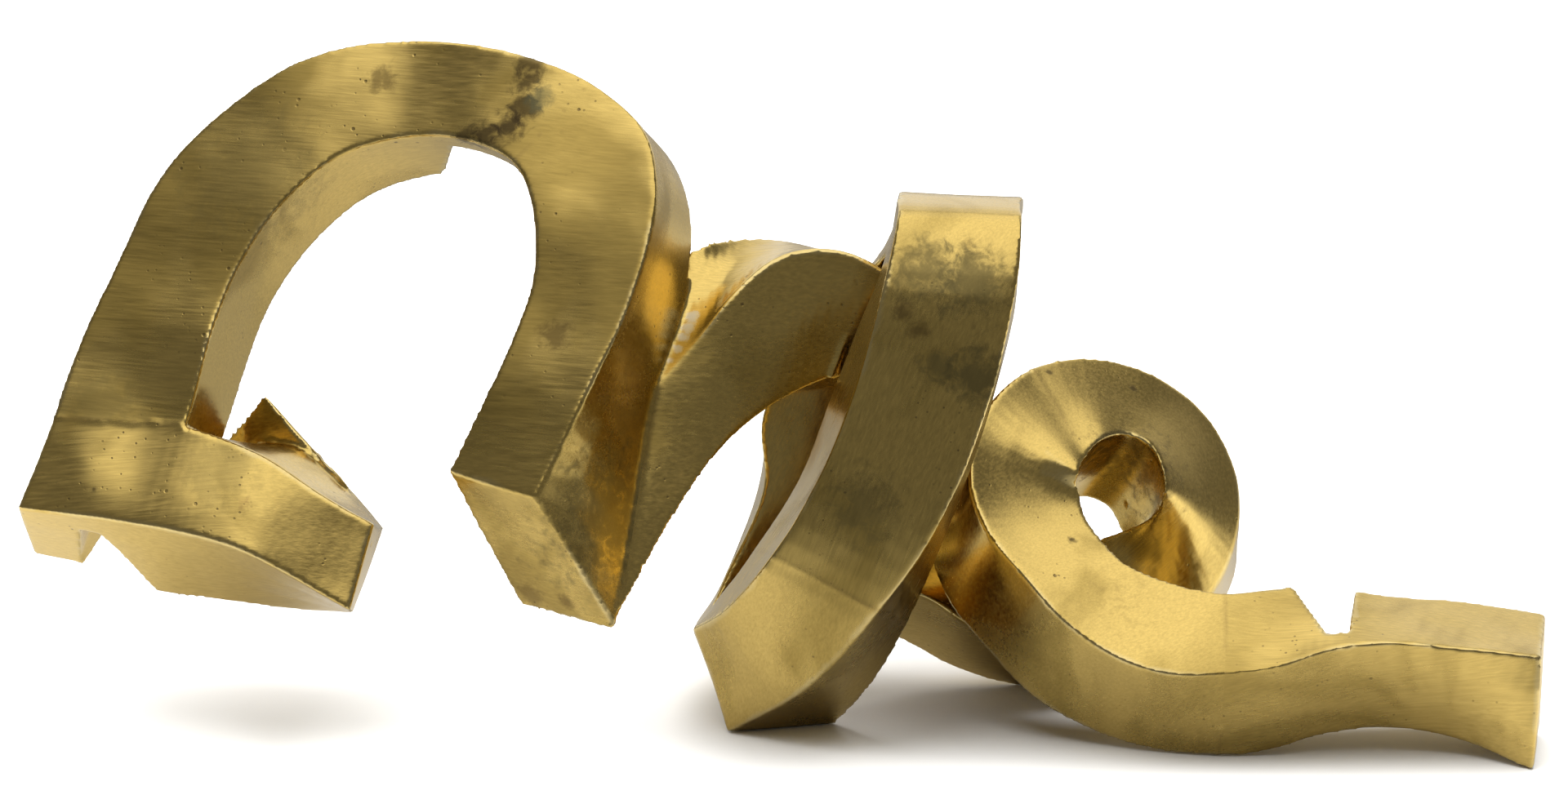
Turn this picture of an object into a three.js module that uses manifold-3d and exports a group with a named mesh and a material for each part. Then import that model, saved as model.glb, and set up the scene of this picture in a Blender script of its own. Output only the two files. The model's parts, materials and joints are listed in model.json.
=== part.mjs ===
// Cast brass ring disentanglement puzzle.
// One long square bar (hook, tall arch, second arch, coil and wavy tail) is threaded through one
// closed ring. Bar and ring are both made up of castings that are brazed end to end.
// Millimetres, +Z up, +X along the bar, +Y towards the back.
import * as THREE from "three";
import { mergeVertices } from "three/addons/utils/BufferGeometryUtils.js";
import Module from "manifold-3d";

// Driving dimensions
const LENGTH = 372;              // hook to sawn tail, along X
const DEPTH = 111;               // front to back, along Y
const HEIGHT = 163;              // floor to arch top, along Z
const SEAM = 0.35;               // gap at each brazed seam
const ARCH_POCKET = { wall: 8, depth: 15 };    // half-lap pockets: wall left standing and depth
const HOOK_POCKET = { wall: 8, depth: 13 };
const TAIL_POCKET = { wall: 7, depth: 15 };
const POCKET_RUNOUT = 12;        // how far a pocket's cutter runs out into the air
const FOOT_GRIND = 0.6;           // height above the lowest laid-out point that the feet are ground to

// The layout below is drawn at this size, and is scaled to the driving dimensions
const LAYOUT = new THREE.Vector3(372, 111, 163);
const STEPS_PER_SPAN = 5;        // loft sections between two laid-out sections
const FACE_SPLITS = 3;           // strips across each face of the bar

const FINISH = {
  polished: { color: 0x9c8a4c, roughness: 0.26, metalness: 1 },
  brushed: { color: 0x8f8050, roughness: 0.42, metalness: 1 },
};

const wasm = await Module();
wasm.setup();

// A section is the bar's four corners: front outer, front inner, back inner, back outer.
// The two back corners are given as steps back from the front ones.
const scaleToSize = new THREE.Vector3(LENGTH, DEPTH, HEIGHT).divide(LAYOUT);

function section(outer, inner, backOuter, backInner = backOuter) {
  const front = [new THREE.Vector3(...outer), new THREE.Vector3(...inner)];
  const back = [
    front[1].clone().add(new THREE.Vector3(...backInner)),
    front[0].clone().add(new THREE.Vector3(...backOuter)),
  ];
  return [...front, ...back].map((corner) => corner.multiply(scaleToSize));
}

// Tall arch: rises from the hook, goes over the top and drops to the pointed foot
const ARCH_BACK = [6.5, 20.5, -15];
const ARCH_DROP_BACK = [9, 21.5, -13.5];
const archSections = [
  section([-178.5, -4, 74.5], [-146.5, -15, 76.5], [6, 20, -16]),
  section([-172.5, 7.5, 92.5], [-141, -5.5, 92], [6, 20, -15.5]),
  section([-163, 19, 112.5], [-133.5, 5.5, 110], ARCH_BACK),
  section([-152, 29, 131.5], [-123, 12, 124.5], ARCH_BACK),
  section([-133, 34, 148.5], [-110, 15.5, 135.5], ARCH_BACK),
  section([-112, 34, 159.5], [-98.5, 14.5, 140.5], ARCH_BACK),
  section([-88.5, 28, 163], [-85.5, 11, 142.5], [7, 20.5, -14.5]),
  section([-64, 16.5, 161.5], [-73, 5, 141], [7, 20.5, -14.5]),
  section([-46, 6, 156.5], [-65, -1.5, 137.5], [7.5, 20.5, -14.5]),
  section([-35, -5, 148], [-61.5, -7, 131.5], [7.5, 20.5, -14.5]),
  section([-31.5, -16, 136.5], [-60, -14, 123.5], [8.5, 20.5, -14]),
  section([-32.5, -25.5, 123.5], [-60.5, -21, 114], ARCH_DROP_BACK),
  section([-37, -34, 110.5], [-64, -27.5, 104], [11, 21.5, -12.5]),
  section([-45.5, -43.5, 94], [-71, -35.5, 90], [14, 18.5, -15]),
  section([-59.5, -56.5, 70], [-80.5, -41, 72], [19.5, 6.5, -34.5], [17, 6, -36]),
];

// Hook under the arch's rising leg: its front arm comes forward and turns to a point
const hookSections = [
  section([-186.5, -15.5, 55], [-178.5, -4, 74.5], [0, 22, -18.5], [5.5, 20, -16]),
  section([-170, -22, 55], [-162, -9.5, 75.5], [-1, 21.5, -19.5], [5.5, 20, -16]),
  section([-151, -30, 54.5], [-146.5, -15, 76.5], [-1.5, 19, -22.5], [6, 21.5, -12]),
  section([-139, -34.5, 53], [-136.5, -19, 74], [-1.5, 20, -21.5], [8, 23.5, -8.5]),
  section([-129.5, -37.5, 50.5], [-126, -24, 70], [-2.5, 21.5, -19.5], [8.5, 25.5, -5]),
  section([-119.5, -39, 45.5], [-113, -28, 63], [-2.5, 25, -16], [4.5, 27.5, -6]),
  section([-104.5, -42.5, 37], [-99, -30, 55.5], [-1, 26, -8], [0.5, 25.5, -9]),
];

// Hook's rear arm: a short diamond bar behind the front arm
const hookRearSections = [
  section([-116.5, -2, 67], [-128.5, 8, 77.5], [-12.5, 0, -14.5], [-13, 6, -16.5]),
  section([-99.5, -8, 48], [-105, 5, 50.5], [-6, -3.5, -13.5], [-6.5, 4, -16]),
];

// Second arch, the drop behind the ring, the sweep along the floor, the coil and the tail
const COIL_BACK = [-9.5, 15.5, -21];
const barSections = [
  section([-40.5, -50, 35], [-30, -21.5, 88], [-23.5, 17.5, 0.5], [-2.5, 20, 20.5]),
  section([-27.5, -37, 56], [-21.5, -17, 97], [-10.5, 24, 11.5], [-0.5, 21.5, 19]),
  section([-16.5, -28, 71], [-12, -12, 108], [-3.5, 27, 8], [1, 28, 7.5]),
  section([-6, -20.5, 79.5], [0, -6.5, 116], [0, 28.5, -1.5], [0.5, 29, -3]),
  section([8, -13.5, 85.5], [14, -4.5, 116.5], [0.5, 28, -8.5]),
  section([16, -11.5, 86.5], [27.5, -5.5, 109], [0.5, 28, -8.5]),
  section([17.5, -13, 82], [36, -9, 97], [0.5, 27.5, -8.5]),
  section([14.5, -15, 69], [39.5, -12, 78], [0, 25.5, -9]),
  section([10.5, -16, 49], [31.5, -13, 56], [-1, 20.5, -10]),
  section([25, -9.5, 33], [39.5, 5.5, 41], [-4, 18, -15]),
  section([34.5, -7.5, 30.5], [54, 7.5, 36.5], [-4.5, 21, -18]),
  section([46, -8.5, 23.5], [64, 7.5, 35.5], [-1, 22, -19]),
  section([60.5, -9, 17.5], [73, 5, 39], [0, 23.5, -17.5]),
  section([76.5, -7, 14.5], [80, 4.5, 42.5], [1.5, 24.5, -15]),
  section([93, -2, 17.5], [85.5, 3.5, 45], [3, 24, -14], [-1.5, 24, -14.5]),
  section([106.5, 7, 27], [91, 0.5, 49.5], [4, 25.5, -12], [-4.5, 22, -16]),
  section([113, 16.5, 40], [93.5, -2, 55.5], [2, 25.5, -14], [-7.5, 18.5, -19]),
  section([113, 24.5, 53.5], [93, 1.5, 61], [-1, 23.5, -16.5], COIL_BACK),
  section([105.5, 30, 67], [90, 5, 66], [-4.5, 21, -18.5], COIL_BACK),
  section([92, 30.5, 77], [84.5, 5.5, 68.5], [-7, 18.5, -20], COIL_BACK),
  section([77.5, 26, 82.5], [78, -0.5, 68.5], COIL_BACK),
  section([61.5, 13.5, 83], [74, -6.5, 66], COIL_BACK),
  section([49.5, -4.5, 77.5], [72, -12.5, 63], COIL_BACK),
  section([45, -19, 65.5], [72.5, -11.5, 58], COIL_BACK),
  section([49, -29.5, 53.5], [74, -16, 53.5], COIL_BACK),
  section([57, -38, 45], [77.5, -21.5, 49], [-9, 15.5, -22]),
  section([67, -46, 35.5], [82.5, -27.5, 45], [-9, 15.5, -21.5]),
  section([79, -50.5, 28.5], [89, -30.5, 42.5], [-5.5, 15.5, -23]),
  section([91.5, -54.5, 25.5], [96.5, -32, 40.5], [-2.5, 15, -24.5]),
  section([105, -56, 26], [106.5, -32.5, 39], [-0.5, 13.5, -26]),
  section([116.5, -56, 27.5], [118.5, -29.5, 39], [0.5, 13.5, -26]),
  section([129.5, -55, 31.5], [130.5, -27.5, 39], [1.5, 13.5, -26]),
  section([143.5, -54.5, 33], [146, -26, 36.5], [2, 12.5, -26]),
  section([161.5, -54, 31.5], [164.5, -25, 35], [2, 9.5, -27]),
  section([180, -53.5, 29], [185, -25, 31], [-0.5, 0, -29]),
];

// Ring, from the sharp fold at its foot up the back leg, over the crown and down the front blade.
// Its front corners are the outer side and its back corners the inner side.
const ringSections = [
  section([-22, -26, 27.5], [-14, -25, 0.5], [4, 14.5, 0], [27, 8, -0.5]),
  section([-22, 10.5, 17.5], [-11, 6.5, -4.5], [4.5, -12, 9], [25.5, -5, 4.5]),
  section([-15.5, 30.5, 22.5], [10.5, 27, 10], [1.5, -26, 11], [3, -21.5, 11.5]),
  section([-7, 39.5, 44], [18.5, 37.5, 36], [2, -27, 8], [1, -27, 7]),
  section([-3, 44.5, 63], [24.5, 43, 56], [-2.5, -27.5, 6], [-1, -27, 6.5]),
  section([6.5, 49.5, 84.5], [35, 48, 79.5], [-1.5, -26, 5.5], [-1, -26, 5.5]),
  section([22, 48.5, 101], [53, 48, 98.5], [-3.5, -21, 0.5]),
  section([28, 36.5, 116], [58.5, 36, 115], [-4, -13.5, -8.5]),
  section([28.5, 9, 128], [58.5, 8.5, 127], [-2.5, 1.5, -16]),
  section([27.5, -14.5, 132.5], [57, -15, 131.5], [-2, 11, -20.5], [-1, 11, -20.5]),
  section([27, -29.5, 132], [57, -29.5, 130.5], [-3, 19.5, -20.5], [-1, 19, -21]),
  section([24.5, -37.5, 120.5], [56, -38, 118.5], [-4, 26, -15], [-1, 25.5, -17]),
  section([17.5, -45.5, 94.5], [47.5, -47.5, 86.5], [-3.5, 29.5, -5.5], [1, 28.5, -9.5]),
  section([7.5, -50.5, 71.5], [35, -54, 58.5], [-4, 28, -7.5], [4, 27.5, -8.5]),
  section([-5, -51, 50.5], [19, -53, 36.5], [-4.5, 27, -6.5], [9, 24, -11.5]),
  section([-15, -38.5, 35.5], [5, -43, 18], [0, 18.5, -0.5], [14.5, 18.5, -8]),
];

// A run is a row of sections with a smooth rail through each of the four corners.
// A loop starts and ends at its first section, which is left as a sharp fold.
class Run {
  constructor(sections, { loop = false } = {}) {
    const row = loop ? [...sections, sections[0]] : sections;
    this.spans = row.length - 1;
    this.loop = loop;
    this.rails = [0, 1, 2, 3].map(
      (corner) => new THREE.CatmullRomCurve3(row.map((item) => item[corner]), false, "centripetal"),
    );
  }

  // The four corners at station t, counted in sections from the start of the run
  at(t) {
    const station = this.loop ? THREE.MathUtils.euclideanModulo(t, this.spans) : t;
    return this.rails.map((rail) => rail.getPoint(station / this.spans));
  }

  // A point of the bar at station t: across from the outer to the inner side, and back from the front
  point(t, across, back) {
    const [outer, inner, backInner, backOuter] = this.at(t);
    const front = outer.lerp(inner, across);
    return front.lerp(backOuter.lerp(backInner, across), back);
  }

  // The station a given distance along the bar from station t
  step(t, distance) {
    const probe = 0.02 * Math.sign(distance);
    const reach = this.point(t, 0.5, 0.5).distanceTo(this.point(t + probe, 0.5, 0.5));
    return t + (probe * Math.abs(distance)) / reach;
  }
}

const arch = new Run(archSections);
const hook = new Run(hookSections);
const hookRear = new Run(hookRearSections);
const bar = new Run(barSections);
const ring = new Run(ringSections, { loop: true });

// A closed body from points and triangles, turned so that its faces point out
function closedBody(points, triangles) {
  const volume = triangles.reduce((sum, [a, b, c]) => {
    return sum + points[a].dot(points[b].clone().cross(points[c]));
  }, 0);
  const geometry = new THREE.BufferGeometry();
  geometry.setFromPoints(points);
  geometry.setIndex(triangles.flatMap(([a, b, c]) => (volume > 0 ? [a, b, c] : [a, c, b])));
  return geometry;
}

// The outline of the bar at station t, each face in FACE_SPLITS strips
function outline(run, t) {
  const corners = run.at(t);
  return corners.flatMap((corner, index) => {
    const next = corners[(index + 1) % corners.length];
    return Array.from({ length: FACE_SPLITS }, (_, strip) => corner.clone().lerp(next, strip / FACE_SPLITS));
  });
}

// The casting between two stations of a run, short of each end by half a seam
function casting(run, start, end, { openStart = false, openEnd = false } = {}) {
  const from = openStart ? start : run.step(start, SEAM / 2);
  const to = openEnd ? end : run.step(end, -SEAM / 2);
  const stations = [from];
  for (let i = Math.floor(from * STEPS_PER_SPAN) + 1; i / STEPS_PER_SPAN < to; i += 1) {
    const station = i / STEPS_PER_SPAN;
    const margin = 0.2 / STEPS_PER_SPAN;
    if (station - from > margin && to - station > margin) stations.push(station);
  }
  stations.push(to);
  const rows = stations.map((t) => outline(run, t));
  const sides = rows[0].length;
  const points = rows.flat();
  const triangles = [];
  for (let row = 0; row < rows.length - 1; row += 1) {
    for (let side = 0; side < sides; side += 1) {
      const a = row * sides + side;
      const b = row * sides + ((side + 1) % sides);
      triangles.push([a, b, b + sides], [a, b + sides, a + sides]);
    }
  }
  const last = (rows.length - 1) * sides;
  const startCentre = points.push(run.point(from, 0.5, 0.5)) - 1;
  const endCentre = points.push(run.point(to, 0.5, 0.5)) - 1;
  for (let side = 0; side < sides; side += 1) {
    const next = (side + 1) % sides;
    triangles.push([startCentre, next, side], [endCentre, last + side, last + next]);
  }
  return closedBody(points, triangles);
}

// The cutter of a half-lap pocket: a block between two rectangles, each spanning two stations.
// A rectangle's edge is two points of the bar's section, as shares across and back of it.
function pocketCutter(run, ...rectangles) {
  const points = rectangles.flatMap(({ stations, edge }) => {
    return stations.flatMap((station) => {
      const [outer, inner, backInner] = run.at(station);
      const shares = edge(outer.distanceTo(inner), inner.distanceTo(backInner));
      return shares.map(([across, back]) => run.point(station, across, back));
    });
  });
  const faces = [[0, 1, 3, 2], [4, 6, 7, 5], [0, 4, 5, 1], [2, 3, 7, 6], [0, 2, 6, 4], [1, 5, 7, 3]];
  return closedBody(points, faces.flatMap(([a, b, c, d]) => [[a, b, c], [a, c, d]]));
}

// A pocket sunk into the inner or the outer face, open at the back, with a wall left at the front
function backPocket(run, face, { wall, depth }, wallStations, backStations) {
  const rims = {
    inner: (width) => [1 - depth / width, 1 + POCKET_RUNOUT / width],
    outer: (width) => [depth / width, -POCKET_RUNOUT / width],
  };
  const edge = (width, back) => rims[face](width).map((across) => [across, back]);
  return pocketCutter(
    run,
    { stations: wallStations, edge: (width, thickness) => edge(width, wall / thickness) },
    { stations: backStations, edge: (width, thickness) => edge(width, 1 + POCKET_RUNOUT / thickness) },
  );
}

// A pocket sunk into the front face, open at the inner side, with a wall left at the outer side
function frontPocket(run, { wall, depth }, wallStations, innerStations) {
  const edge = (thickness, across) => [[across, depth / thickness], [across, -POCKET_RUNOUT / thickness]];
  return pocketCutter(
    run,
    { stations: wallStations, edge: (width, thickness) => edge(thickness, wall / width) },
    { stations: innerStations, edge: (width, thickness) => edge(thickness, 1 + POCKET_RUNOUT / width) },
  );
}

function toSolid(geometry) {
  const bare = new THREE.BufferGeometry();
  bare.setAttribute("position", geometry.getAttribute("position"));
  bare.setIndex(geometry.index);
  const merged = mergeVertices(bare, 1e-4);
  return new wasm.Manifold(new wasm.Mesh({
    numProp: 3,
    vertProperties: new Float32Array(merged.getAttribute("position").array),
    triVerts: new Uint32Array(merged.index.array),
  }));
}

function toGeometry(solid) {
  const { vertProperties, triVerts } = solid.getMesh();
  const geometry = new THREE.BufferGeometry();
  geometry.setAttribute("position", new THREE.BufferAttribute(new Float32Array(vertProperties), 3));
  geometry.setIndex(new THREE.BufferAttribute(new Uint32Array(triVerts), 1));
  return geometry;
}

function cut(geometry, ...tools) {
  return toGeometry(tools.reduce((solid, tool) => solid.subtract(toSolid(tool)), toSolid(geometry)));
}

// A body cut to its neighbour, with the seam's gap left all round it
function fitted(geometry, neighbour) {
  const sides = [-1, 0, 1];
  const ways = sides.flatMap((x) => sides.flatMap((y) => sides.map((z) => new THREE.Vector3(x, y, z))));
  return cut(geometry, ...ways.map((way) => {
    way.setLength(SEAM);
    return neighbour.clone().translate(way.x, way.y, way.z);
  }));
}

// The floor that the feet are ground flat on
const ground = new THREE.BoxGeometry(2 * LENGTH, 2 * DEPTH, HEIGHT);
ground.translate(0, 0, FOOT_GRIND - HEIGHT / 2);

const hookFrontArm = cut(
  casting(hook, 0, 6, { openStart: true, openEnd: true }),
  backPocket(hook, "outer", HOOK_POCKET, [0.95, 1.2], [0.95, 2.75]),
);
const ARCH_SEAM = 7.9;            // station of the brazed seam at the arch's top
const archDropLeg = casting(arch, ARCH_SEAM, 14, { openEnd: true });
const archPocket = backPocket(arch, "inner", ARCH_POCKET, [6.15, 8.6], [4.7, 8.8]);

const castings = {
  hook_front_arm: hookFrontArm,
  hook_rear_arm: fitted(casting(hookRear, 0, 1, { openStart: true, openEnd: true }), hookFrontArm),
  arch_rising_leg: cut(
    fitted(casting(arch, 0, ARCH_SEAM, { openStart: true }), hookFrontArm),
    archPocket,
  ),
  arch_drop_leg: cut(archDropLeg, archPocket),
  second_arch: fitted(casting(bar, 0, 4.5, { openStart: true }), archDropLeg),
  descending_bar: casting(bar, 4.5, 9),
  back_sweep: casting(bar, 9, 13),
  coil: casting(bar, 13, 21),
  front_sweep: casting(bar, 21, 29),
  tail: cut(
    casting(bar, 29, 34, { openEnd: true }),
    frontPocket(bar, TAIL_POCKET, [31, 31.35], [30.05, 31.6]),
  ),
  ring_back_leg: casting(ring, 2.3, 6.2),
  ring_front_blade: casting(ring, 6.2, 13.8),
  ring_foot: casting(ring, 13.8, 18.3),
};

const ON_THE_FLOOR = ["back_sweep", "coil", "front_sweep", "tail", "ring_foot"];
const POLISHED = ["hook_front_arm", "front_sweep", "coil", "ring_foot"];

const puzzle = new THREE.Group();
puzzle.name = "ring_disentanglement_puzzle";
for (const [name, geometry] of Object.entries(castings)) {
  const body = ON_THE_FLOOR.includes(name) ? cut(geometry, ground) : geometry;
  body.computeVertexNormals();
  const finish = POLISHED.includes(name) ? FINISH.polished : FINISH.brushed;
  const mesh = new THREE.Mesh(body, new THREE.MeshStandardMaterial(finish));
  mesh.name = name;
  puzzle.add(mesh);
}

// The origin is at the middle of the bottom of the whole object's box
const box = new THREE.Box3().setFromObject(puzzle);
const centre = box.getCenter(new THREE.Vector3());
puzzle.position.set(-centre.x, -centre.y, -box.min.z);

export default puzzle;
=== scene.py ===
"""Looks for a cast brass ring disentanglement puzzle.

The long bar and the closed ring are each made up of castings that are brazed end to end. Each body is
fused from its castings, given a worn cast surface, and split at the brazed seams again, so that the
seams lie flush and every casting stays a piece of its own.
"""

import json
import logging
import math
from dataclasses import dataclass, field
from enum import Enum
from functools import cache

import bmesh
import bpy
import numpy as np
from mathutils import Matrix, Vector
from mathutils.bvhtree import BVHTree
from mathutils.kdtree import KDTree


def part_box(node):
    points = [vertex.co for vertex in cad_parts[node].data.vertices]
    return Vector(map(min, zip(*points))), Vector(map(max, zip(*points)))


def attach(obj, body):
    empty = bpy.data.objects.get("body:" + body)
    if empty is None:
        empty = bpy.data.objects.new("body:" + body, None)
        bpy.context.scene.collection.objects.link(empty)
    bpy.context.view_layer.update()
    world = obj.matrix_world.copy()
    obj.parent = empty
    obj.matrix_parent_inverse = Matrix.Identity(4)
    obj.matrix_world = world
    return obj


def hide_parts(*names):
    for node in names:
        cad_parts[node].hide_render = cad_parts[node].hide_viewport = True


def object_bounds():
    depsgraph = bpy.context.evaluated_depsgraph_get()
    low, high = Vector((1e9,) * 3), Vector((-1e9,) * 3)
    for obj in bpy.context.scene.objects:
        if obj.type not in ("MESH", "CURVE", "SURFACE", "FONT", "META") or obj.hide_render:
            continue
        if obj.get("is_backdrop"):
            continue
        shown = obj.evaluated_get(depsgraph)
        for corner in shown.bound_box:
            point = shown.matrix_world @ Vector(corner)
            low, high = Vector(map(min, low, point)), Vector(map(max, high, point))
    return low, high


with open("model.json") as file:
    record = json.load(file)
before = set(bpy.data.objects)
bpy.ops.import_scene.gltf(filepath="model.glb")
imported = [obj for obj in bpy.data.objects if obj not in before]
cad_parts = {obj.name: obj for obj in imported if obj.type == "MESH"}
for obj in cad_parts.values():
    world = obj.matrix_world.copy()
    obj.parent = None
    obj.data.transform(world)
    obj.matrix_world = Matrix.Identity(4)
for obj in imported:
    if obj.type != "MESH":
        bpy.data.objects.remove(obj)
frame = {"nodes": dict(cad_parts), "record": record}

LOG = logging.getLogger("puzzle")
MM = 0.001
Colour = tuple[float, float, float]
Point = tuple[float, float, float]
Corners = tuple[int, ...]

PORE: Colour = (0.14, 0.095, 0.045)
PIT: Colour = (0.12, 0.08, 0.04)
# Pale edge colour: real wear, and a painted highlight along the edges.
WORN_EDGE_AND_HIGHLIGHT: Colour = (0.86, 0.72, 0.38)
SAWN_FACE: Colour = (0.80, 0.66, 0.36)


class Brushing(Enum):
    """The way a casting was brushed, as the turn that lays the strokes along X."""

    ACROSS_ARCH = (0.0, 0.0, 0.35)
    ALONG_BAR = (0.0, 0.12, 0.2)
    UP_BLADE = (0.0, 1.2, 0.0)
    ROUND_COIL = (0.5, 0.7, 0.3)


@dataclass(frozen=True)
class ColourPatch:
    """A patch of colour on the metal: a stain, or painted shade that stands for a dark reflection.

    Args:
        place: its middle, in millimetres.
        radius: its reach, in millimetres.
        strength: 0 for none, 1 for full cover.
        colour: its tint.
    """

    place: Point
    radius: float
    strength: float
    colour: Colour = (0.10, 0.07, 0.03)


@dataclass(frozen=True)
class BrassFinish:
    """Hand-finished cast brass.

    Args:
        name: the material's name.
        slot: the record's material slot, not used.
        bright: colour of the clean metal.
        patina: colour where the metal has darkened.
        polish: roughness of the polished metal.
        brushed: roughness of the brushed metal.
        cover: share of the surface that is brushed and darkened, 0 to 1.
        strokes: the way the brush strokes run.
        patches: its stains, and its patches of painted shade.
        seam_tint: colour of the braze at its seams.
        seam_width: reach of the braze's heat marks, in millimetres.
    """

    name: str
    slot: str
    bright: Colour = (0.74, 0.535, 0.165)
    patina: Colour = (0.48, 0.34, 0.095)
    polish: float = 0.20
    brushed: float = 0.33
    cover: float = 0.5
    strokes: Brushing = Brushing.ALONG_BAR
    patches: tuple[ColourPatch, ...] = ()
    seam_tint: Colour = (0.34, 0.23, 0.08)
    seam_width: float = 1.4

    @cache
    def material(self) -> bpy.types.Material:
        """Builds the node material, once for each finish.

        Returns:
            The finished material.
        """
        made = bpy.data.materials.new(self.name)
        made.use_nodes = True
        graph = Graph(made.node_tree)
        shader = graph.tree.nodes["Principled BSDF"]
        shader.inputs["Metallic"].default_value = 1.0
        place = graph.add("ShaderNodeTexCoord").outputs["Object"]
        turned = graph.add("ShaderNodeMapping", Vector=place, Rotation=self.strokes.value)
        strokes = graph.add("ShaderNodeMapping", Vector=turned.outputs[0], Scale=(0.06, 1.0, 1.0))
        cross = graph.add(
            "ShaderNodeMapping", Vector=turned.outputs[0], Rotation=(0.3, 0.9, 1.1), Scale=(0.05, 1.0, 1.0)
        )

        clouds = graph.noise(place, 24.0, 3.0, 0.5, 0.8)
        cover = graph.ramp(clouds, 0.66 - 0.36 * self.cover, 0.86 - 0.36 * self.cover)
        fine = graph.noise(strokes.outputs[0], 1900.0, 3.0, 0.6, 0.0)
        hatch = graph.noise(cross.outputs[0], 1300.0, 2.0, 0.6, 0.0)
        # Mask along the edges, for wear and a painted edge highlight.
        worn = graph.close_to("edge_mm", graph.noise(place, 140.0, 2.0, 0.5, 0.0), 0.6, 2.2)
        heat = graph.close_to("seam_mm", graph.noise(place, 90.0, 3.0, 0.6, 0.3), 0.3, self.seam_width)
        sawn = graph.attribute("sawn")
        pores = graph.pores(place, 420.0, 0.16)
        pits = graph.pores(place, 150.0, 0.09)

        colour = graph.mix(cover, self.bright, self.patina)
        colour = graph.tint(colour, graph.span(fine, 0.3, 0.7, 0.88, 1.10))
        colour = graph.tint(colour, graph.span(hatch, 0.3, 0.7, 0.95, 1.05))
        colour = graph.mix(graph.math("MULTIPLY", heat, 0.35), colour, self.seam_tint)
        colour = graph.mix(graph.math("MULTIPLY", pores, 0.6), colour, PORE)
        colour = graph.mix(graph.math("MULTIPLY", pits, 0.7), colour, PIT)
        # Edges get real wear and a painted highlight in the pale edge colour.
        colour = graph.mix(graph.math("MULTIPLY", worn, 0.55), colour, WORN_EDGE_AND_HIGHLIGHT)
        colour = graph.mix(graph.math("MULTIPLY", sawn, 0.5), colour, SAWN_FACE)
        matte = graph.math("MULTIPLY", heat, 0.3)
        # Real stains, and patches of painted shade: the olive ones and the wide dark one in the coil's
        # hole.
        for patch in self.patches:
            spot = graph.spot(place, patch)
            colour = graph.mix(spot, colour, patch.colour)
            matte = graph.math("MAXIMUM", matte, spot)
        graph.link(colour, shader.inputs["Base Color"])

        rough = graph.span(cover, 0.0, 1.0, self.polish, self.brushed)
        rough = graph.math("ADD", rough, graph.span(hatch, 0.3, 0.7, -0.04, 0.06))
        rough = graph.math("ADD", rough, graph.math("MULTIPLY", matte, 0.18))
        rough = graph.math("SUBTRACT", rough, graph.math("MULTIPLY", worn, 0.06))
        rough = graph.math("ADD", rough, graph.math("MULTIPLY", sawn, 0.20))
        graph.link(rough, shader.inputs["Roughness"])

        relief = graph.math("MULTIPLY", graph.math("SUBTRACT", fine, 0.5), 0.5)
        relief = graph.math("ADD", relief, graph.math("MULTIPLY", hatch, 0.35))
        relief = graph.math("SUBTRACT", relief, graph.math("MULTIPLY", pores, 1.5))
        relief = graph.math("SUBTRACT", relief, graph.math("MULTIPLY", pits, 4.0))
        marks = graph.add("ShaderNodeMapping", Vector=place, Scale=(1.0, 0.05, 0.25))
        saw_marks = graph.noise(marks.outputs[0], 900.0, 2.0, 0.5, 0.6)
        saw_relief = graph.math("MULTIPLY", graph.math("MULTIPLY", saw_marks, sawn), 4.0)
        relief = graph.math("ADD", relief, saw_relief)
        bump = graph.add("ShaderNodeBump", Strength=0.2, Distance=0.0001, Height=relief)
        graph.link(bump.outputs[0], shader.inputs["Normal"])
        return made


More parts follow.
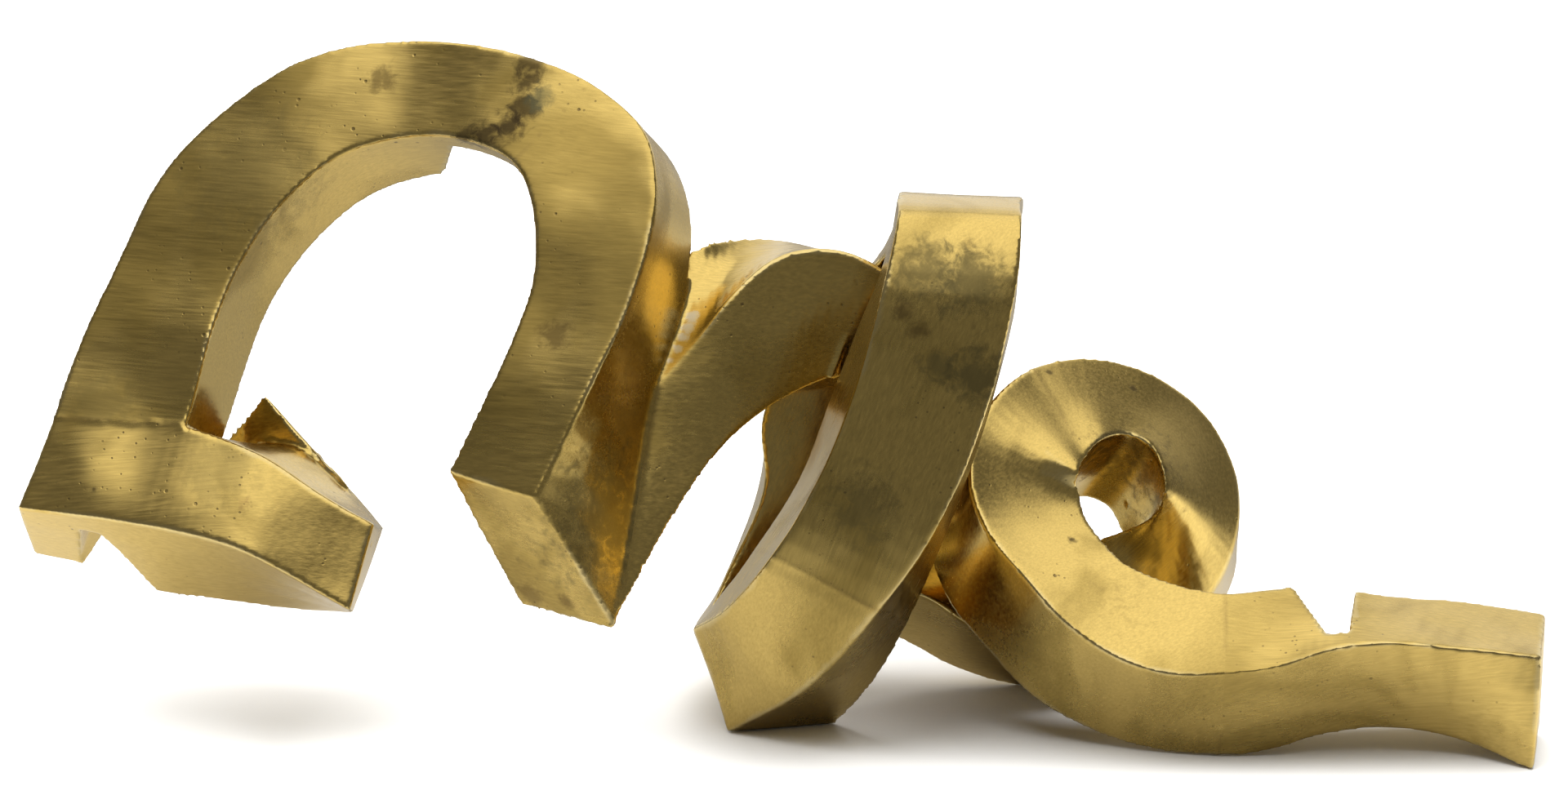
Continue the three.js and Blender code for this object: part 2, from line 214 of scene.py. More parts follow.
class Graph:
    """A short way to write a node tree."""

    def __init__(self, tree: bpy.types.NodeTree) -> None:
        """Keeps the tree to add to."""
        self.tree = tree

    def link(self, source: object, socket: bpy.types.NodeSocket) -> None:
        """Sets a socket from a number, a colour or another node's socket."""
        if isinstance(source, bpy.types.NodeSocket):
            self.tree.links.new(source, socket)
        elif isinstance(source, tuple) and socket.type == "RGBA":
            socket.default_value = (*source, 1.0)
        else:
            socket.default_value = source

    def add(self, kind: str, **inputs: object) -> bpy.types.Node:
        """Adds a node.

        Args:
            kind: Blender's name for the node type.
            **inputs: values or sockets by input name.

        Returns:
            The new node.
        """
        node = self.tree.nodes.new(kind)
        for name, source in inputs.items():
            self.link(source, node.inputs[name.replace("_", " ")])
        return node

    def math(self, operation: str, left: object, right: object) -> bpy.types.NodeSocket:
        """Joins two values by one operation."""
        node = self.tree.nodes.new("ShaderNodeMath")
        node.operation = operation
        self.link(left, node.inputs[0])
        self.link(right, node.inputs[1])
        return node.outputs[0]

    def vector(self, operation: str, left: object, right: object) -> bpy.types.NodeSocket:
        """Joins two vectors by one operation."""
        node = self.tree.nodes.new("ShaderNodeVectorMath")
        node.operation = operation
        self.link(left, node.inputs[0])
        self.link(right, node.inputs[1])
        return node.outputs[0]

    def noise(
        self, place: object, scale: float, detail: float, roughness: float, distortion: float
    ) -> bpy.types.NodeSocket:
        """Adds a noise texture and returns its value."""
        node = self.add(
            "ShaderNodeTexNoise",
            Vector=place, Scale=scale, Detail=detail, Roughness=roughness, Distortion=distortion,
        )
        return node.outputs[0]

    def span(
        self, value: object, low: float, high: float, to_low: float, to_high: float
    ) -> bpy.types.NodeSocket:
        """Maps a value from one range to another, held at both ends."""
        node = self.tree.nodes.new("ShaderNodeMapRange")
        for socket, source in zip(node.inputs, (value, low, high, to_low, to_high)):
            self.link(source, socket)
        return node.outputs[0]

    def ramp(self, value: object, low: float, high: float) -> bpy.types.NodeSocket:
        """A smooth step from 0 to 1 between two values."""
        node = self.tree.nodes.new("ShaderNodeMapRange")
        node.interpolation_type = "SMOOTHSTEP"
        for socket, source in zip(node.inputs, (value, low, high, 0.0, 1.0)):
            self.link(source, socket)
        return node.outputs[0]

    def close_to(self, name: str, ragged: object, least: float, most: float) -> bpy.types.NodeSocket:
        """1 at a line whose distance is kept on the mesh, falling to 0 at a ragged reach in millimetres."""
        reach = self.span(ragged, 0.3, 0.75, least, most)
        return self.math("SUBTRACT", 1.0, self.ramp(self.attribute(name), 0.0, reach))

    def attribute(self, name: str) -> bpy.types.NodeSocket:
        """Reads a number kept on the mesh."""
        node = self.tree.nodes.new("ShaderNodeAttribute")
        node.attribute_name = name
        return node.outputs["Fac"]

    def mix(self, share: object, under: object, over: object) -> bpy.types.NodeSocket:
        """Mixes two colours, which a Mix node takes at inputs 6 and 7 and gives at output 2."""
        node = self.tree.nodes.new("ShaderNodeMix")
        node.data_type = "RGBA"
        self.link(share, node.inputs[0])
        self.link(under, node.inputs[6])
        self.link(over, node.inputs[7])
        return node.outputs[2]

    def tint(self, colour: object, brightness: object) -> bpy.types.NodeSocket:
        """Multiplies a colour by a brightness."""
        node = self.tree.nodes.new("ShaderNodeVectorMath")
        node.operation = "SCALE"
        self.link(colour, node.inputs[0])
        self.link(brightness, node.inputs["Scale"])
        return node.outputs[0]

    def pores(self, place: object, scale: float, size: float) -> bpy.types.NodeSocket:
        """Small round pores, scattered where a slow noise lets them be."""
        cells = self.add("ShaderNodeTexVoronoi", Vector=place, Scale=scale)
        dots = self.math("SUBTRACT", 1.0, self.ramp(cells.outputs["Distance"], 0.5 * size, size))
        where = self.ramp(self.noise(place, 55.0, 2.0, 0.5, 0.0), 0.50, 0.66)
        return self.math("MULTIPLY", dots, where)

    def spot(self, place: object, patch: ColourPatch) -> bpy.types.NodeSocket:
        """One patch, a stain or painted shade, as a soft ragged ball round its middle."""
        ragged = self.noise(place, 300.0, 4.0, 0.65, 0.4)
        away = self.tree.nodes.new("ShaderNodeVectorMath")
        away.operation = "DISTANCE"
        self.link(place, away.inputs[0])
        away.inputs[1].default_value = tuple(MM * part for part in patch.place)
        reach = MM * patch.radius
        frayed = self.span(ragged, 0.3, 0.7, -0.4 * reach, 0.4 * reach)
        far = self.math("ADD", away.outputs["Value"], frayed)
        near = self.math("SUBTRACT", 1.0, self.ramp(far, 0.25 * reach, 1.05 * reach))
        return self.math("MULTIPLY", near, patch.strength)


@dataclass(frozen=True)
class GroundPlace:
    """A place where hand grinding took more metal away.

    Args:
        place: its middle, in millimetres.
        radius: its reach, in millimetres.
        depth: the metal taken away at its middle, in millimetres.
        side: the way the ground face looks.
    """

    place: Point
    radius: float
    depth: float
    side: Point

    def grind(self, points: np.ndarray) -> np.ndarray:
        """Takes the metal away.

        Args:
            points: the surface's points.

        Returns:
            The points after grinding.
        """
        away = np.linalg.norm(points - MM * np.array(self.place), axis=1) / (MM * self.radius)
        share = np.clip(1.0 - away, 0.0, 1.0)
        fall = share * share * (3.0 - 2.0 * share)
        side = np.array(self.side) / np.linalg.norm(self.side)
        return points - side * (MM * self.depth * fall)[:, None]


@dataclass
class CastSurface:
    """The Geometry Nodes that give fused metal its cast and hand-ground surface.

    Args:
        waviness: size of the slow waves left by grinding, in metres.
        wave_scale: how many waves there are to a metre.
        pit_depth: depth of the casting pits, in metres.
        pit_scale: how many pit cells there are to a metre.
        seed: the noise's seed.
    """

    waviness: float = 0.0030
    wave_scale: float = 22.0
    pit_depth: float = 0.0005
    pit_scale: float = 95.0
    seed: float = 4.0

    def tree(self) -> bpy.types.NodeTree:
        """Builds the node tree with named inputs.

        Returns:
            A geometry node tree that ends in Realize Instances and Set Material.
        """
        tree = bpy.data.node_groups.new("cast surface", "GeometryNodeTree")
        face = tree.interface
        face.new_socket("Metal", in_out="INPUT", socket_type="NodeSocketGeometry")
        for name in ("Waviness", "Wave scale", "Pit depth", "Pit scale", "Seed"):
            face.new_socket(name, in_out="INPUT", socket_type="NodeSocketFloat")
        face.new_socket("Finish", in_out="INPUT", socket_type="NodeSocketMaterial")
        face.new_socket("Metal", in_out="OUTPUT", socket_type="NodeSocketGeometry")
        graph = Graph(tree)
        given = tree.nodes.new("NodeGroupInput").outputs
        waves = tree.nodes.new("ShaderNodeTexNoise")
        waves.noise_dimensions = "4D"
        graph.link(given["Wave scale"], waves.inputs["Scale"])
        graph.link(given["Seed"], waves.inputs["W"])
        graph.link(1.5, waves.inputs["Detail"])
        cells = tree.nodes.new("ShaderNodeTexVoronoi")
        cells.voronoi_dimensions = "4D"
        graph.link(given["Pit scale"], cells.inputs["Scale"])
        graph.link(given["Seed"], cells.inputs["W"])
        pits = graph.math("SUBTRACT", 1.0, graph.ramp(cells.outputs["Distance"], 0.04, 0.13))
        here = graph.ramp(waves.outputs[0], 0.52, 0.60)
        depth = graph.math("MULTIPLY", graph.math("MULTIPLY", pits, here), given["Pit depth"])
        level = graph.vector("SUBTRACT", waves.outputs["Color"], (0.5, 0.5, 0.5))
        wave = graph.tint(level, given["Waviness"])
        outwards = tree.nodes.new("GeometryNodeInputNormal").outputs[0]
        offset = graph.vector("SUBTRACT", wave, graph.tint(outwards, depth))
        moved = graph.add("GeometryNodeSetPosition", Geometry=given["Metal"], Offset=offset)
        whole = graph.add("GeometryNodeRealizeInstances", Geometry=moved.outputs[0])
        dressed = graph.add("GeometryNodeSetMaterial", Geometry=whole.outputs[0], Material=given["Finish"])
        graph.link(dressed.outputs[0], tree.nodes.new("NodeGroupOutput").inputs["Metal"])
        return tree

    def apply(self, piece: bpy.types.Object, finish: bpy.types.Material) -> bpy.types.Mesh:
        """Runs the tree on a piece.

        Args:
            piece: the fused metal.
            finish: the material to set.

        Returns:
            The result as a plain mesh.
        """
        modifier = piece.modifiers.new("cast surface", "NODES")
        modifier.node_group = self.tree()
        values = {
            "Waviness": self.waviness,
            "Wave scale": self.wave_scale,
            "Pit depth": self.pit_depth,
            "Pit scale": self.pit_scale,
            "Seed": self.seed,
            "Finish": finish,
        }
        for socket in modifier.node_group.interface.items_tree:
            if socket.in_out == "INPUT" and socket.name in values:
                modifier[socket.identifier] = values[socket.name]
        return plain_mesh(piece)


def plain_mesh(piece: bpy.types.Object) -> bpy.types.Mesh:
    """Turns a piece with its modifiers into a plain mesh, and clears the modifiers."""
    bpy.context.view_layer.update()
    live = piece.evaluated_get(bpy.context.evaluated_depsgraph_get())
    mesh = bpy.data.meshes.new_from_object(live)
    piece.modifiers.clear()
    return mesh


def mesh_arrays(mesh: bpy.types.Mesh) -> tuple[np.ndarray, list[Corners]]:
    """A mesh's points and the corners of its faces."""
    points = np.empty(len(mesh.vertices) * 3)
    mesh.vertices.foreach_get("co", points)
    return points.reshape(-1, 3), [tuple(face.vertices) for face in mesh.polygons]


@dataclass
class Casting:
    """One casting, as the frame holds it.

    Args:
        node: its node's name.
        finish: its brass.
    """

    node: str
    finish: BrassFinish
    body: bmesh.types.BMesh = field(init=False)
    near: BVHTree = field(init=False)

    def __post_init__(self) -> None:
        """Copies the node's mesh, merges its loose triangles and readies it for nearest-point tests."""
        self.body = bmesh.new()
        self.body.from_mesh(frame["nodes"][self.node].data)
        bmesh.ops.remove_doubles(self.body, verts=self.body.verts, dist=2e-6)
        self.body.normal_update()
        self.near = BVHTree.FromBMesh(self.body)

    def distance(self, place: Vector) -> float:
        """How far a point is from this casting's surface."""
        return self.near.find_nearest(place)[3]


@dataclass
class BrazedRun:
    """A run of castings that are brazed into one body.

    Args:
        name: the run's name.
        body: the body it rides on.
        castings: its castings in order.
        voxel: the fused metal's grain, in metres.
        seam_reach: how far apart two castings are at a brazed seam, at most, in metres.
        smoothing: rounds of smoothing that wear the edges.
        edge_angle: the least angle of an edge that wears bright and gets a painted highlight.
        sample_step: spacing of the points that stand for edges and seams, in metres.
        sink: how deep a seam's filling starts inside a casting, in metres.
        box_margin: how far outside its box a casting is still asked for its distance, in metres.
        ground_places: places ground away by hand.
        room: the box that the metal stays in, in metres.
    """

    name: str
    body: str
    castings: list[Casting]
    voxel: float = 0.0006
    seam_reach: float = 0.0011
    smoothing: int = 7
    edge_angle: float = math.radians(38)
    sample_step: float = 0.0006
    sink: float = 0.0003
    box_margin: float = 0.005
    ground_places: tuple[GroundPlace, ...] = ()
    room: tuple[Point, Point] = ((-1.0, -1.0, 0.0), (1.0, 1.0, 1.0))
    seam_points: list[Vector] = field(default_factory=list)
    edge_points: list[Vector] = field(default_factory=list)

    def braze(self) -> bmesh.types.BMesh:
        """Fills the seams between the castings.

        Returns:
            All castings and, at each seam, prisms that reach from one into the other.
        """
        fused = bmesh.new()
        bridge = self.seam_reach * 0.6
        for casting in self.castings:
            others = [other for other in self.castings if other is not casting]
            corners = {vert: fused.verts.new(vert.co) for vert in casting.body.verts}
            for face in casting.body.faces:
                fused.faces.new([corners[vert] for vert in face.verts])
            close = {
                vert: min((other.distance(vert.co) for other in others), default=1.0) < self.seam_reach
                for vert in casting.body.verts
            }
            for face in casting.body.faces:
                if not all(close[vert] for vert in face.verts):
                    continue
                if min(other.distance(face.calc_center_median()) for other in others) > self.seam_reach:
                    continue
                lower = [fused.verts.new(vert.co - face.normal * self.sink) for vert in face.verts]
                upper = [fused.verts.new(vert.co + face.normal * bridge) for vert in face.verts]
                fused.faces.new(upper)
                fused.faces.new(lower[::-1])
                for index in range(3):
                    after = (index + 1) % 3
                    fused.faces.new([lower[index], lower[after], upper[after], upper[index]])
            for edge in casting.body.edges:
                ends = [vert.co for vert in edge.verts]
                count = max(1, int(edge.calc_length() / self.sample_step))
                samples = [ends[0].lerp(ends[1], step / count) for step in range(count + 1)]
                if all(close[vert] for vert in edge.verts):
                    self.seam_points.extend(samples)
                elif edge.calc_face_angle(0.0) > self.edge_angle:
                    self.edge_points.extend(samples)
        return fused

    def fuse(self) -> bpy.types.Mesh:
        """Fuses the castings into one metal, with worn edges and a cast surface.

        Returns:
            The fused mesh.
        """
        mesh = bpy.data.meshes.new(self.name)
        self.braze().to_mesh(mesh)
        piece = bpy.data.objects.new(self.name, mesh)
        bpy.context.scene.collection.objects.link(piece)
        remesh = piece.modifiers.new("fuse", "REMESH")
        remesh.mode = "VOXEL"
        remesh.voxel_size = self.voxel * 1.0
        wear = piece.modifiers.new("wear", "SMOOTH")
        wear.factor = 0.5
        wear.iterations = self.smoothing
        piece.data = plain_mesh(piece)
        for place in self.ground_places:
            piece.data.vertices.foreach_set("co", place.grind(mesh_arrays(piece.data)[0]).ravel())
        result = CastSurface().apply(piece, self.castings[0].finish.material())
        bpy.data.objects.remove(piece)
        return result

    def make(self) -> list[bpy.types.Object]:
        """Fuses the run, splits it at its seams and dresses each casting.

        Returns:
            The finished pieces.
        """
        points, shares = self.split(*mesh_arrays(self.fuse()))
        edges, seams = point_tree(self.edge_points), point_tree(self.seam_points)
        made = []
        for index, casting in enumerate(self.castings):
            piece = self.piece(casting, points, shares[index])
            keep_distance(piece.data, "edge_mm", edges)
            keep_distance(piece.data, "seam_mm", seams)
            keep_sawn(piece.data)
            piece.data.materials.append(casting.finish.material())
            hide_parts(casting.node)
            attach(piece, self.body)
            LOG.info("%s: %d faces", piece.name, len(piece.data.polygons))
            made.append(piece)
        return made

    def split(self, points: np.ndarray, faces: list[Corners]) -> tuple[np.ndarray, list[list[Corners]]]:
        """Shares the fused metal out among the castings, along the line midway between each pair.

        Args:
            points: the fused metal's points.
            faces: its faces.

        Returns:
            The points, with those on the dividing lines added, and each casting's faces.
        """
        far = self.box_margin
        away = np.full((len(points), len(self.castings)), far)
        for index, casting in enumerate(self.castings):
            low, high = (np.array(corner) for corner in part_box(casting.node))
            inside = np.all((points > low - far) & (points < high + far), axis=1)
            for number in np.flatnonzero(inside):
                away[number, index] = casting.distance(Vector(points[number]))
        owner = away.argmin(axis=1)
        added: list[np.ndarray] = []
        on_edge: dict[tuple[int, int], int] = {}

        def dividing(here: int, there: int) -> int:
            """The point on an edge where the nearest casting changes."""
            key = (min(here, there), max(here, there))
            if key not in on_edge:
                first, second = owner[key[0]], owner[key[1]]
                ends = [away[number, first] - away[number, second] for number in key]
                share = ends[0] / (ends[0] - ends[1]) if ends[0] != ends[1] else 0.5
                share = min(0.97, max(0.03, share))
                on_edge[key] = len(points) + len(added)
                added.append(points[key[0]] * (1.0 - share) + points[key[1]] * share)
            return on_edge[key]

        shares: list[list[Corners]] = [[] for _ in self.castings]
        for face in faces:
            owners = {int(owner[corner]) for corner in face}
            if len(owners) == 1:
                shares[owners.pop()].append(face)
                continue
            for own in owners:
                part: list[int] = []
                for here, there in zip(face, face[1:] + face[:1]):
                    if owner[here] == own:
                        part.append(here)
                    if owner[here] != owner[there] and own in (owner[here], owner[there]):
                        part.append(dividing(here, there))
                if len(part) > 2:
                    shares[own].append(tuple(part))
        if added:
            points = np.vstack([points, np.array(added)])
        return points, shares

    def piece(self, casting: Casting, points: np.ndarray, faces: list[Corners]) -> bpy.types.Object:
        """Makes one casting's closed piece from its share of the fused metal.

        Args:
            casting: the casting.
            points: the fused metal's points.
            faces: this casting's faces.

        Returns:
            The piece, at the origin, closed where it was split.
        """
        used = sorted({corner for face in faces for corner in face})
        number = {corner: index for index, corner in enumerate(used)}
        mesh = bpy.data.meshes.new(f"{casting.node}_brass")
        place = np.clip(points[used], *self.room)
        mesh.from_pydata(place.tolist(), [], [[number[corner] for corner in face] for face in faces])
        shape = bmesh.new()
        shape.from_mesh(mesh)
        open_edges = [edge for edge in shape.edges if edge.is_boundary]
        for face in shape.faces:
            face.smooth = True
        for edge in open_edges:
            edge.smooth = False
        filled = bmesh.ops.holes_fill(shape, edges=open_edges, sides=0)
        for face in filled["faces"]:
            face.smooth = False
        bmesh.ops.triangulate(shape, faces=filled["faces"])
        shape.to_mesh(mesh)
        shape.free()
        piece = bpy.data.objects.new(f"{casting.node}_brass", mesh)
        bpy.context.scene.collection.objects.link(piece)
        return piece


def point_tree(points: list[Vector]) -> KDTree:
    """A tree of points for nearest-point tests."""
    tree = KDTree(len(points))
    for index, place in enumerate(points):
        tree.insert(place, index)
    tree.balance()
    return tree


def keep_distance(mesh: bpy.types.Mesh, name: str, tree: KDTree) -> None:
    """Keeps each point's distance to the nearest point of a tree on the mesh, in millimetres."""
    layer = mesh.attributes.new(name, "FLOAT", "POINT")
    far = [tree.find(vert.co)[2] / MM for vert in mesh.vertices]
    layer.data.foreach_set("value", far)


SAWN_END_DEPTH = 0.0075
SAWN_END_FACING = 0.75
POCKET_MARGIN = 0.003


def in_box(place: Vector, low: Point, high: Point, margin: float) -> bool:
    """Whether a point lies in a box that is widened by a margin."""
    return all(low[axis] - margin < place[axis] < high[axis] + margin for axis in range(3))


def keep_sawn(mesh: bpy.types.Mesh) -> None:
    """Marks the points on rough sawn faces: the tail's end and the walls of the half-lap pockets."""
    layer = mesh.attributes.new("sawn", "FLOAT", "POINT")
    tail_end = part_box("tail")[1].x
    boxes = [
        opening["box_m"]
        for opening in frame["record"]["physics"].get("openings", [])
        if "pocket" in opening["name"]
    ]
    marks = []
    for vert in mesh.vertices:
        on_end = vert.co.x > tail_end - SAWN_END_DEPTH and vert.normal.x > SAWN_END_FACING
        in_pocket = any(in_box(vert.co, low, high, POCKET_MARGIN) for low, high in boxes)
        marks.append(1.0 if on_end or in_pocket else 0.0)
    layer.data.foreach_set("value", marks)


@dataclass
class Studio:
    """The pale floor, the soft light and the camera.

    Args:
        target: the point the camera looks at, in metres.
        elevation: the camera's angle above the floor, in degrees.
        distance: from the camera to the target, in metres.
        lens: focal length on a 36 mm wide sensor.
        floor_half: half the floor's side, in metres.
        floor_drop: how far the floor lies under the object, in metres.
    """

    target: Point = (0.00075, 0.00068, 0.0782)
    elevation: float = 15.0
    distance: float = 1.4
    lens: float = 131.25
    floor_half: float = 4.0
    floor_drop: float = 0.0001

    def floor(self) -> None:
        """Lays the floor just under the object. The metal mirrors a dimmer floor than the camera sees."""
        mesh = bpy.data.meshes.new("floor")
        half = self.floor_half
        drop = -self.floor_drop
        corners = [(-half, -half, drop), (half, -half, drop), (half, half, drop), (-half, half, drop)]
        mesh.from_pydata(corners, [], [(0, 1, 2, 3)])
        paper = bpy.data.materials.new("white paper")
        paper.use_nodes = True
        graph = Graph(paper.node_tree)
        shader = paper.node_tree.nodes["Principled BSDF"]
        shader.inputs["Roughness"].default_value = 0.9
        shader.inputs["Specular IOR Level"].default_value = 0.1
        place = graph.add("ShaderNodeTexCoord").outputs["Object"]
        grain = graph.noise(place, 60.0, 2.0, 0.5, 0.0)
        white = graph.mix(grain, (0.90, 0.90, 0.895), (0.92, 0.92, 0.915))
        parts = graph.add("ShaderNodeSeparateXYZ", Vector=place).outputs
        # Painted reflections: how bright the floor looks in the metal, set by place, brighter under the
        # object and to its right, dim in front.
        under = graph.ramp(parts["Y"], -0.14, -0.04)
        under = graph.math("SUBTRACT", under, graph.ramp(parts["Y"], 0.0, 0.16))
        front = graph.ramp(parts["Y"], -0.35, -0.10)
        right = graph.ramp(parts["X"], 0.10, 0.34)
        right = graph.math("MULTIPLY", right, graph.ramp(parts["Y"], -0.36, -0.12))
        glow = graph.math("ADD", graph.math("MULTIPLY", under, 0.30), graph.math("MULTIPLY", right, 0.20))
        glow = graph.math("ADD", glow, graph.math("MULTIPLY", front, 0.07))
        dim = graph.mix(graph.math("ADD", glow, 0.11), (0.0, 0.0, 0.0), (1.0, 0.99, 0.97))
        glossy = graph.tree.nodes.new("ShaderNodeLightPath").outputs["Is Glossy Ray"]
        graph.link(graph.mix(glossy, white, dim), shader.inputs["Base Color"])
        mesh.materials.append(paper)
        floor = bpy.data.objects.new("floor", mesh)
        bpy.context.scene.collection.objects.link(floor)
        floor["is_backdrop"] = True

    def softbox(
        self, name: str, place: Point, aim: Point, size: tuple[float, float], power: float
    ) -> None:
        """Hangs one soft light, which the metal doesn't mirror."""
        lamp = bpy.data.lights.new(name, "AREA")
        lamp.shape = "RECTANGLE"
        lamp.size, lamp.size_y = size
        lamp.energy = power
        light = bpy.data.objects.new(name, lamp)
        light.location = place
        light.visible_glossy = False
        light.rotation_euler = (Vector(aim) - Vector(place)).to_track_quat("-Z", "Y").to_euler()
        bpy.context.scene.collection.objects.link(light)

    def light(self) -> None:
        """Sets the soft room light, bright overhead and dim lower down, and the softboxes.

        The camera sees white surroundings, and only the metal and the floor see the dim ones.
        """
        world = bpy.data.worlds.new("studio")
        bpy.context.scene.world = world
        world.use_nodes = True
        graph = Graph(world.node_tree)
        way = graph.add("ShaderNodeTexCoord").outputs["Generated"]
        parts = graph.add("ShaderNodeSeparateXYZ", Vector=way).outputs
        sideways = graph.math("MULTIPLY", graph.math("ABSOLUTE", parts["X"], 0.0), -0.1)
        endways = graph.math("MULTIPLY", graph.math("ABSOLUTE", parts["Y"], 0.0), 0.12)
        height = graph.math("ADD", graph.math("ADD", parts["Z"], sideways), endways)
        bright = graph.ramp(height, 0.73, 0.84)
        behind = graph.math("MULTIPLY", graph.ramp(parts["Y"], 0.45, 0.90), 0.75)
        bright = graph.math("MAXIMUM", bright, behind)
        surroundings = graph.mix(bright, (0.150, 0.146, 0.140), (1.22, 1.20, 1.15))
        camera = graph.tree.nodes.new("ShaderNodeLightPath").outputs["Is Camera Ray"]
        seen = graph.mix(camera, surroundings, (1.0, 1.0, 1.0))
        graph.link(seen, world.node_tree.nodes["Background"].inputs["Color"])
        self.softbox(
            "top softbox", place=(-0.1, 0.15, 1.35), aim=(0.0, 0.0, 0.0), size=(1.9, 1.7), power=47.0
        )
        self.softbox(
            "left softbox", place=(-1.3, -0.25, 0.95), aim=(0.0, 0.0, 0.08), size=(0.7, 1.0), power=7.0
        )
        bpy.context.scene.view_settings.view_transform = "Standard"

    def camera(self) -> None:
        """Sets the camera."""
        lens = bpy.data.cameras.new("camera")
        lens.lens = self.lens
        lens.sensor_width = 36.0
        camera = bpy.data.objects.new("camera", lens)
        angle = math.radians(self.elevation)
        aim = Vector(self.target)
        camera.location = aim + self.distance * Vector((0.0, -math.cos(angle), math.sin(angle)))
        camera.rotation_euler = (aim - camera.location).to_track_quat("-Z", "Y").to_euler()
        bpy.context.scene.collection.objects.link(camera)
        bpy.context.scene.camera = camera


FLUX: Colour = (0.075, 0.052, 0.026)
VERDIGRIS: Colour = (0.16, 0.17, 0.10)
SILVER: Colour = (0.78, 0.76, 0.70)
BROWN: Colour = (0.15, 0.095, 0.035)
# Olive is painted shade: wide olive patches that stand for dark reflections on the metal.
PAINTED_OLIVE_SHADE: Colour = (0.20, 0.16, 0.065)

# The places below are millimetres in the frame, and none follows the castings when the part changes
# size. Many of the marks' places, and the two face directions, were read off the castings by a
# separate measuring script.
# Brown, flux and verdigris stains, and olive patches of painted shade.
ARCH_STAINS_AND_SHADE = (
    ColourPatch((-98.6, 25.7, 153.3), 5.0, 0.6, BROWN),
    ColourPatch((-54.1, -31.6, 102.4), 5.5, 0.65, BROWN),
    ColourPatch((-131.0, 21.0, 129.0), 22.0, 0.35, PAINTED_OLIVE_SHADE),
    ColourPatch((-166.0, -5.0, 78.0), 14.0, 0.35, PAINTED_OLIVE_SHADE),
    ColourPatch((-61.0, 15.2, 159.2), 5.0, 0.7, FLUX),
    ColourPatch((-62.0, 12.3, 154.7), 5.0, 0.75, FLUX),
    ColourPatch((-62.8, 8.5, 149.5), 5.5, 0.8, FLUX),
    ColourPatch((-66.3, 6.0, 145.3), 5.5, 0.85, FLUX),
    ColourPatch((-71.8, 7.6, 142.9), 5.0, 0.85, FLUX),
    ColourPatch((-77.0, 9.4, 142.3), 4.4, 0.8, FLUX),
    ColourPatch((-58.8, 9.0, 151.8), 4.5, 0.5, VERDIGRIS),
    ColourPatch((-51.3, 4.6, 150.3), 1.8, 0.9, FLUX),
    ColourPatch((-52.2, 3.0, 147.8), 1.4, 0.9, FLUX),
    ColourPatch((-53.4, 1.6, 145.3), 1.7, 0.9, FLUX),
    ColourPatch((-42.0, -38.0, 60.0), 22.0, 0.70, PAINTED_OLIVE_SHADE),
    ColourPatch((-60.0, -38.1, 39.2), 5.0, 0.5, BROWN),
    ColourPatch((-51.0, -44.0, 39.7), 3.0, 0.6, BROWN),
)
CROTCH_MARKS = (
    ColourPatch((-21.4, -10.4, 101.4), 2.2, 0.85, SILVER),
    ColourPatch((-22.6, -12.4, 99.2), 2.0, 0.8, SILVER),
    ColourPatch((-23.6, -13.8, 97.2), 1.8, 0.8, SILVER),
    ColourPatch((-25.0, -15.6, 94.8), 1.5, 0.7, SILVER),
    ColourPatch((-26.6, -17.4, 92.3), 1.2, 0.6, SILVER),
)
# A reddish stain, flux, and an olive patch of painted shade.
HOOK_STAINS_AND_SHADE = (
    ColourPatch((-129.7, -31.5, 61.8), 3.0, 0.5, (0.42, 0.20, 0.09)),
    ColourPatch((-166.6, -18.0, 60.0), 1.3, 0.85, FLUX),
    ColourPatch((-167.6, -18.6, 57.6), 1.0, 0.8, FLUX),
    ColourPatch((-136.0, -24.0, 67.0), 13.0, 0.25, PAINTED_OLIVE_SHADE),
)
# Brown and flux stains, and olive patches of painted shade.
BLADE_STAINS_AND_SHADE = (
    ColourPatch((28.8, -40.3, 110.6), 3.2, 0.7, BROWN),
    ColourPatch((32.6, -41.6, 105.9), 3.2, 0.65, BROWN),
    ColourPatch((44.7, -33.6, 125.5), 2.6, 0.5, BROWN),
    ColourPatch((34.6, -36.8, 119.7), 10.0, 0.70, PAINTED_OLIVE_SHADE),
    ColourPatch((45.5, -37.8, 116.9), 11.0, 0.75, PAINTED_OLIVE_SHADE),
    ColourPatch((37.4, -43.9, 97.5), 6.0, 0.70, PAINTED_OLIVE_SHADE),
    ColourPatch((46.2, -44.4, 95.3), 9.0, 0.80, PAINTED_OLIVE_SHADE),
    ColourPatch((20.1, -51.3, 65.5), 11.0, 0.55, PAINTED_OLIVE_SHADE),
    ColourPatch((-11.6, 26.2, 30.8), 3.0, 0.7, FLUX),
)
COIL_STAINS_AND_SHADE = (
    ColourPatch((87.7, 22.5, 74.9), 1.3, 0.8, FLUX),
    ColourPatch((70.6, -23.3, 49.2), 1.6, 0.85, FLUX),
    ColourPatch((66.4, 15.0, 81.0), 1.2, 0.7, FLUX),
    ColourPatch((80.0, -30.0, 30.0), 14.0, 0.30, BROWN),
    # Painted shade: a wide dark patch in the coil's hole, where the hole is in shadow.
    ColourPatch((84.0, 2.0, 56.0), 17.0, 0.60, FLUX),
)

ARCH_SIDE: Point = (-0.30, -0.76, 0.58)
BLADE_SIDE: Point = (0.0, -0.95, 0.30)

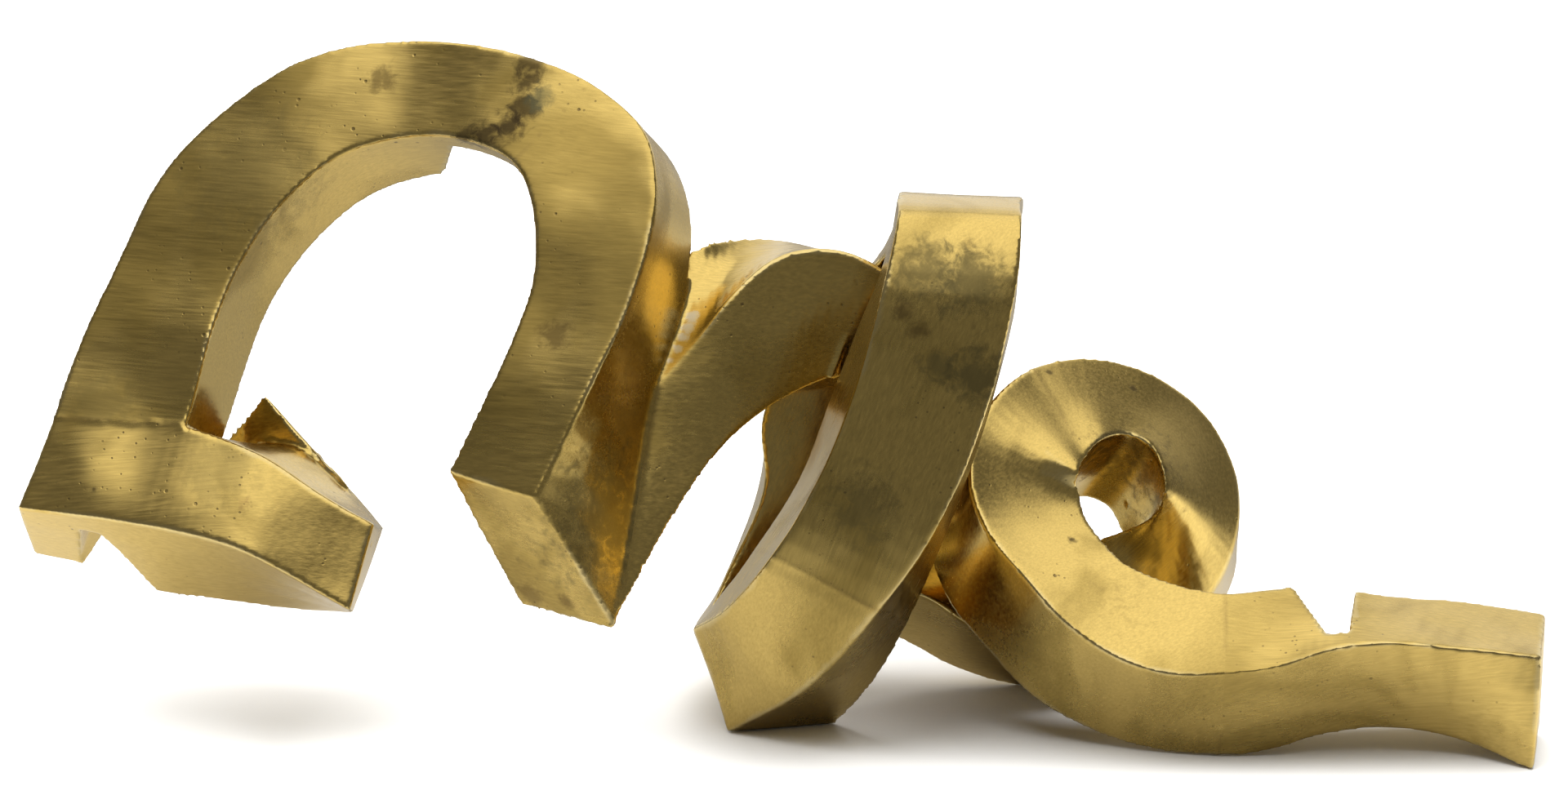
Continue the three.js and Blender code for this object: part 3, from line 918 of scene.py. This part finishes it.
UPPER_GRINDING = (
    GroundPlace((-30.0, -4.0, 158.0), 46.0, 4.0, ARCH_SIDE),
    GroundPlace((-100.0, 34.0, 166.0), 36.0, 1.6, ARCH_SIDE),
    GroundPlace((-92.0, 14.0, 138.0), 24.0, 1.0, ARCH_SIDE),
    GroundPlace((-148.0, -12.0, 74.0), 27.0, 2.2, ARCH_SIDE),
    GroundPlace((-56.0, -58.0, 66.0), 30.0, 1.4, ARCH_SIDE),
)
LOWER_GRINDING = (
    GroundPlace((112.0, 20.0, 62.0), 28.0, 1.4, (0.42, -0.6, 0.68)),
    GroundPlace((50.0, -6.0, 60.0), 26.0, 1.2, (0.25, -0.5, 0.83)),
    GroundPlace((110.0, -52.0, 24.0), 26.0, 1.0, (0.0, -1.0, 0.1)),
)
RING_GRINDING = (
    GroundPlace((40.0, -28.0, 136.0), 34.0, 2.4, BLADE_SIDE),
    GroundPlace((4.0, -52.0, 36.0), 26.0, 1.6, (-0.2, -0.95, -0.1)),
    GroundPlace((20.0, -52.0, 86.0), 24.0, 1.2, BLADE_SIDE),
)

FINISHES = {
    "hook": BrassFinish("polished hook brass", "hook_brass", cover=0.35, patches=HOOK_STAINS_AND_SHADE),
    "arch": BrassFinish(
        "brushed arch brass", "bar_brass",
        cover=0.62, strokes=Brushing.ACROSS_ARCH, patches=ARCH_STAINS_AND_SHADE + CROTCH_MARKS,
    ),
    "second arch": BrassFinish("brushed bar brass", "bar_brass", cover=0.5, patches=CROTCH_MARKS),
    "bar": BrassFinish("rear bar brass", "bar_brass", cover=0.5),
    "coil": BrassFinish(
        "brushed coil brass", "bar_brass", cover=0.4, strokes=Brushing.ROUND_COIL, patches=COIL_STAINS_AND_SHADE
    ),
    "tail": BrassFinish("brushed tail brass", "tail_brass", cover=0.45),
    "ring": BrassFinish(
        "brushed ring brass", "ring_brass", cover=0.5, strokes=Brushing.UP_BLADE, patches=BLADE_STAINS_AND_SHADE
    ),
}


def runs(room: tuple[Point, Point]) -> list[BrazedRun]:
    """Lists the brazed runs of castings.

    Args:
        room: the box that the metal stays in, in metres.

    Returns:
        The two stretches of the bar, and the ring.
    """
    def castings(**finishes: str) -> list[Casting]:
        """Pairs nodes with their finishes."""
        return [Casting(node, FINISHES[finish]) for node, finish in finishes.items()]

    return [
        BrazedRun("upper bar", "bar", castings(
            hook_front_arm="hook", hook_rear_arm="hook", arch_rising_leg="arch", arch_drop_leg="arch",
            second_arch="second arch", descending_bar="bar",
        ), ground_places=UPPER_GRINDING, room=room),
        BrazedRun("lower bar", "bar", castings(
            back_sweep="bar", coil="coil", front_sweep="coil", tail="tail",
        ), ground_places=LOWER_GRINDING, room=room),
        BrazedRun("ring", "ring", castings(
            ring_back_leg="ring", ring_front_blade="ring", ring_foot="ring",
        ), ground_places=RING_GRINDING, room=room),
    ]


def main() -> None:
    """Builds the studio and every piece."""
    logging.basicConfig(level=logging.INFO, format="%(message)s")
    cad_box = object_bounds()
    studio = Studio()
    studio.camera()
    studio.floor()
    studio.light()
    for run in runs((tuple(cad_box[0]), tuple(cad_box[1]))):
        run.make()


if __name__ == "__main__":
    main()
